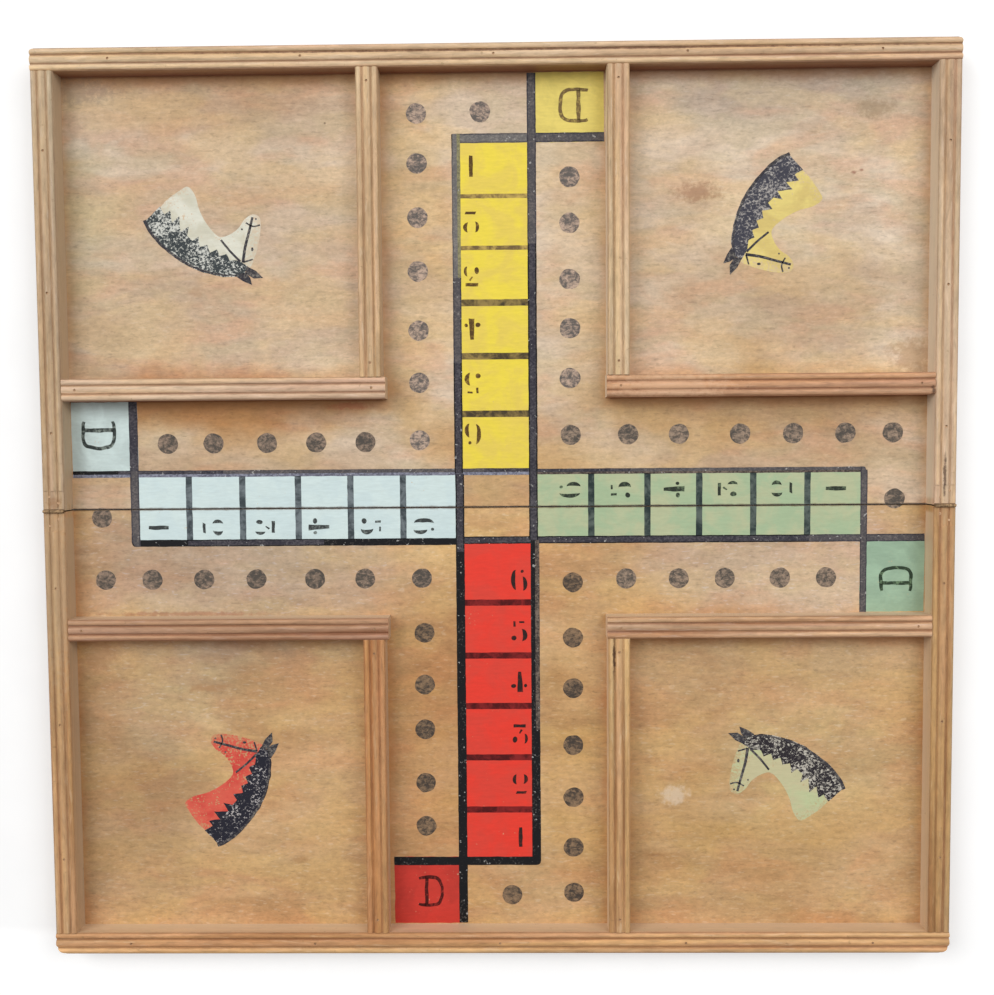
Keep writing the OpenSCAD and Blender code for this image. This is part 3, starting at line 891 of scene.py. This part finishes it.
def seat_dots(seat, facts, rng):
    """The dots of a seat's two path rows, and the one past the outer end of its column."""
    turns = facts["turns"]
    ink = rubbed_ink(f"{seat}_dot_ink", *facts["dots"], 1.7 + turns, 0.41, 0.64, (480, 640))
    dots = Films(f"{seat}_dots", SQUARE_H, ink)
    rows = (facts["outward"], facts["homeward"])
    places = [(x, station) for x, stations in rows for station in stations]
    for x, station in places + [facts["tip"]]:
        round_dot = turned(ball(x, -station, DOT_W, DOT_W, DOT_POINTS), turns)
        dots.add(wavy(round_dot, 0.3, seed=rng.uniform(0, 40), step=0.6))
    return [dots]


def seat_horse(seat, facts, drawing):
    """The horse head in a seat's tray: its coat and mane, with its pen lines in drawing."""
    turns = facts["turns"]
    head = turned([facts["head"]], turns)[0]
    bare = UPPER_BARE if head[1] > 0 else LOWER_BARE
    coat = paint(f"{seat}_horse_paint", *facts["horse"], 21.3 + turns,
                 facts.get("horse_chips", 0.7), bare, (*head, HORSE_FADE))
    ink = rubbed_ink(f"{seat}_mane_ink", *facts["mane"], 2.9 + turns, *facts["mane_wear"],
                     (900, 1050))
    horse = Films(f"{seat}_horse", SQUARE_H, coat)
    mane = Films(f"{seat}_mane", LINE_X_H, ink)
    add_horse(facts, horse, mane, drawing)
    return [horse, mane]


def build_paint():
    """All squares, lines, numbers, start marks, dots and horse heads."""
    lines = line_films()
    ink = rubbed_ink("drawing_ink", (50, 48, 54), (132, 126, 118), 2.3, 0.46, 0.64, (900, 900))
    drawing = Films("horse_lines", MARK_H, ink)
    films = [*lines.values(), drawing]
    shapes = numbers()
    rng = random.Random(DOT_SEED)
    noise.seed_set(SHAKE_SEED)
    for seat, facts in SEATS.items():
        rule_seat(seat, facts, lines)
        films += seat_bars(seat, facts) + seat_squares(seat, facts)
        films += seat_figures(seat, facts, shapes) + seat_dots(seat, facts, rng)
        films += seat_horse(seat, facts, drawing)
    for film in films:
        film.build()


def dress(node, material):
    slots = nodes[node].data.materials
    slots.clear()
    slots.append(material)


# Soft zones and small marks on the panels, in millimetres: (x, y, reaches, tint, strength); tone
# and stains, with some painted shade
UPPER_ZONES = [
    (-125, 140, 112, 84, (188, 162, 136), 0.58), (-186, 130, 26, 60, (180, 166, 138), 0.6),
    (0, 4, 60, 55, (186, 148, 102), 0.7),
    # The zones at y 48 and 46 darken the shaded sides of the upper cross dividers: painted shade
    (-122, 16, 96, 26, (180, 148, 114), 0.7), (-122, 48, 98, 20, (160, 114, 68), 0.9),
    (116, 16, 100, 24, (194, 162, 126), 0.65), (120, 46, 100, 22, (182, 146, 104), 0.85),
    (-178, 74, 22, 24, (168, 142, 116), 0.5), (-176, 172, 26, 24, (176, 160, 144), 0.35),
    (142, 112, 48, 44, (222, 204, 182), 0.4), (76, 128, 20, 50, (190, 164, 138), 0.4),
    (-36, 178, 20, 16, (180, 158, 138), 0.5), (-34, 36, 18, 22, (190, 154, 112), 0.5),
    (-125, 186, 80, 22, (186, 154, 122), 0.7), (125, 186, 80, 22, (178, 165, 152), 0.7),
    (-34, 125, 22, 80, (204, 172, 132), 0.8), (38, 120, 20, 75, (203, 175, 143), 0.8),
    (120, 92, 75, 30, (186, 156, 124), 0.7),
]
UPPER_MARKS = [
    (88.7, 137.8, 12, 5, (142, 96, 66), 0.55), (157.0, 145.7, 1.6, 1.0, (140, 84, 66), 0.7),
    (160.5, 146.6, 1.2, 0.8, (140, 84, 66), 0.7), (166, 173, 10, 5, (146, 118, 88), 0.5),
    (-74.3, 169.4, 0.7, 0.7, (90, 70, 50), 0.8), (-133.2, 96.4, 5, 3, (176, 136, 104), 0.4),
    # The thin line at (-66, 45.5), on the shaded side of a cross divider, is grime and painted
    # shade
    (-66, 45.5, 12, 2.2, (160, 84, 58), 0.5), (-183, 184, 18, 7, (140, 120, 102), 0.5),
    (183, 66, 12, 9, (170, 132, 96), 0.5),
]
LOWER_ZONES = [
    # The zones at y -66 darken the shaded sides of the lower cross dividers: painted shade
    (0, -6, 60, 22, (216, 176, 126), 0.7), (-125, -66, 80, 26, (180, 146, 108), 0.7),
    (125, -66, 80, 26, (180, 147, 108), 0.6), (-125, -28, 88, 50, (174, 154, 136), 0.7),
    (125, -25, 85, 36, (198, 174, 152), 0.7), (-176, -128, 46, 66, (156, 122, 88), 0.65),
    (-148, -92, 36, 26, (196, 172, 140), 0.5), (118, -136, 76, 54, (178, 136, 86), 0.65),
    (136, -116, 54, 38, (206, 174, 130), 0.75), (-25, -120, 36, 90, (178, 126, 78), 0.6),
    (34, -110, 20, 80, (190, 146, 94), 0.6),
]
LOWER_MARKS = [
    (79.4, -131.1, 8, 5, (224, 204, 180), 0.6), (70.4, -158.8, 5, 1.2, (146, 104, 66), 0.5),
    (-140, -47.4, 45, 1.4, (150, 88, 62), 0.5), (-57, -103, 6, 18, (166, 112, 68), 0.5),
    (-130.6, -81.2, 12, 2.2, (170, 126, 84), 0.5), (-91, -160.7, 5, 2, (166, 120, 76), 0.4),
    (-181, -66, 10, 9, (160, 112, 74), 0.4),
]
# Panels: tones of the wood, and its tints as (colour, patches per metre, strength)
PANELS = {
    "upper": dict(
        pale=srgb(218, 197, 173), deep=srgb(197, 171, 145), seed=1.0,
        tints=[((214, 168, 134), 27, 0.5), ((196, 178, 144), 34, 0.45),
               ((222, 192, 146), 21, 0.5)],
        zones=UPPER_ZONES, marks=UPPER_MARKS),
    "lower": dict(
        pale=srgb(208, 170, 126), deep=srgb(184, 142, 98), seed=6.0,
        tints=[((206, 152, 106), 27, 0.45), ((190, 158, 112), 34, 0.4),
               ((212, 174, 116), 21, 0.5)],
        zones=LOWER_ZONES, marks=LOWER_MARKS),
}
# Strips by half: the wood's pale and deep tones, and the painted lit tone of the sides that catch
# light
STRIP_WOODS = {
    "upper": (srgb(212, 182, 146), srgb(184, 150, 114), (219, 204, 182)),
    "lower": (srgb(202, 158, 114), srgb(170, 124, 84), (218, 194, 164)),
}
# Painted shade of the sides that face down the board, lighter on the two that catch more light than
# the others
SHADED_SIDE = (112, 52, 24)
SHADED_SIDES = {"upper_right_cross_divider": (160, 96, 56),
                "lower_right_cross_divider": (170, 110, 70)}
STRIP_MARKS = {
    "upper_right_rail": [(194.9, 12.5, 0.8, 12, (60, 38, 24), 0.8)],
    "lower_right_side_divider": [(51.2, -66, 0.8, 11, (66, 38, 22), 0.9)],
    "upper_right_cross_divider": [(189.6, 50, 1.2, 3, (58, 36, 24), 0.8),
                                  (76, 53, 30, 9, (226, 190, 156), 0.4)],
    "upper_left_rail": [(-194.6, 4, 3.5, 3, (150, 108, 72), 0.6)],
    "upper_long_rail": [(20, 196.9, 175, 0.6, (96, 62, 44), 0.7)],
    "lower_left_rail": [(-195.5, -30, 14, 60, (186, 162, 132), 0.4)],
}
# Each strip's grain axis (0 is X, 1 is Y) and its factors on red, green and blue, by half
STRIPS = {
    "long_rail": (0, (1.10, 1.12, 1.19), (1.06, 0.98, 0.87)),
    "left_rail": (1, (0.80, 0.84, 0.90), (0.90, 0.85, 0.77)),
    "right_rail": (1, (0.98, 1.01, 1.10), (0.82, 0.78, 0.66)),
    "left_cross_divider": (0, (1.04, 1.03, 1.15), (0.76, 0.66, 0.73)),
    "right_cross_divider": (0, (0.95, 0.77, 0.76), (1.04, 1.02, 1.14)),
    "left_side_divider": (1, (1.03, 1.05, 1.02), (0.88, 0.71, 0.55)),
    "right_side_divider": (1, (1.03, 1.07, 1.08), (1.06, 1.07, 0.96)),
}
STRIP_SEED = 5


def dress_frame():
    """Gives each CAD node its own finish."""
    rng = random.Random(STRIP_SEED)
    for index, (half, facts) in enumerate(PANELS.items()):
        dress(f"{half}_panel", plywood(f"{half}_plywood_wood", **facts))
        pale, deep, bright = STRIP_WOODS[half]
        for strip, (along, *tones) in STRIPS.items():
            node = f"{half}_{strip}"
            dress(node, reeded_wood(f"{node}_wood", pale, deep, tones[index], along,
                                    rng.uniform(10, 90), STRIP_MARKS.get(node),
                                    SHADED_SIDES.get(node, SHADED_SIDE), bright))
    brass = metal("tarnished_brass", srgb(156, 127, 92), srgb(98, 76, 52), 0.5, 0.7, 0.5)
    steel = metal("rusted_steel", srgb(200, 164, 128), srgb(156, 120, 88), 0.5, 0.7, 0.35)
    dull_steel = metal("dull_steel", srgb(150, 138, 122), srgb(88, 78, 66), 0.45, 0.65, 0.6)
    for side in ("left", "right"):
        for part in ("upper_leaf", "lower_leaf", "pin"):
            dress(f"{side}_hinge_{part}", brass)
    for half in PANELS:
        dress(f"{half}_panel_pins", steel)
        dress(f"{half}_hinge_nails", dull_steel)


# The floor: metres, greys in linear light, and its painted light, a glow for the camera near the
# board and a stronger one to its right and below it, which thins the board's shadow there
FLOOR_HALF, FLOOR_Z = 3.0, -0.0002
FLOOR_GREYS = ((0.70, 0.70, 0.70, 1), (0.72, 0.72, 0.72, 1))
FLOOR_GLOWS = (0.30, 0.39)


def add_floor():
    """A pale floor with painted light: it glows a little for the camera, more to the right of and
    below the board, except right under the fold.
    """
    mesh = bmesh.new()
    corners = rectangle(-FLOOR_HALF, -FLOOR_HALF, FLOOR_HALF, FLOOR_HALF)
    mesh.faces.new([mesh.verts.new((x, y, FLOOR_Z)) for x, y in corners])
    graph = Graph("floor_paper")
    speckle = graph.noise(graph.place, 40, 3, 0.5)
    colour = graph.mix(graph.span(speckle, 0.3, 0.7), *FLOOR_GREYS)
    seen = graph.add("LightPath", {}).outputs["Is Camera Ray"]
    away = graph.math("MAXIMUM", graph.x, graph.times(graph.y, -1))
    glow = graph.span(away, (INNER_EDGE + 2) * MM, (INNER_EDGE + 8) * MM, *FLOOR_GLOWS)
    beyond = graph.minus(graph.size(graph.x), RAIL_HIGH.x * MM)
    fold = graph.math("MAXIMUM", graph.size(graph.y), beyond)
    glow = graph.times(glow, graph.span(fold, 0.3 * MM, 1.3 * MM))
    glow = graph.times(seen, glow)
    floor = add_mesh("floor", mesh, graph.finish(colour, 0.9, None, specular=0.1, glow=glow))


bpy.context.scene.view_settings.view_transform = "Standard"
add_camera()
add_world()
for light_facts in KEY_LIGHTS:
    add_key_light(*light_facts)
add_floor()
dress_frame()
build_paint()
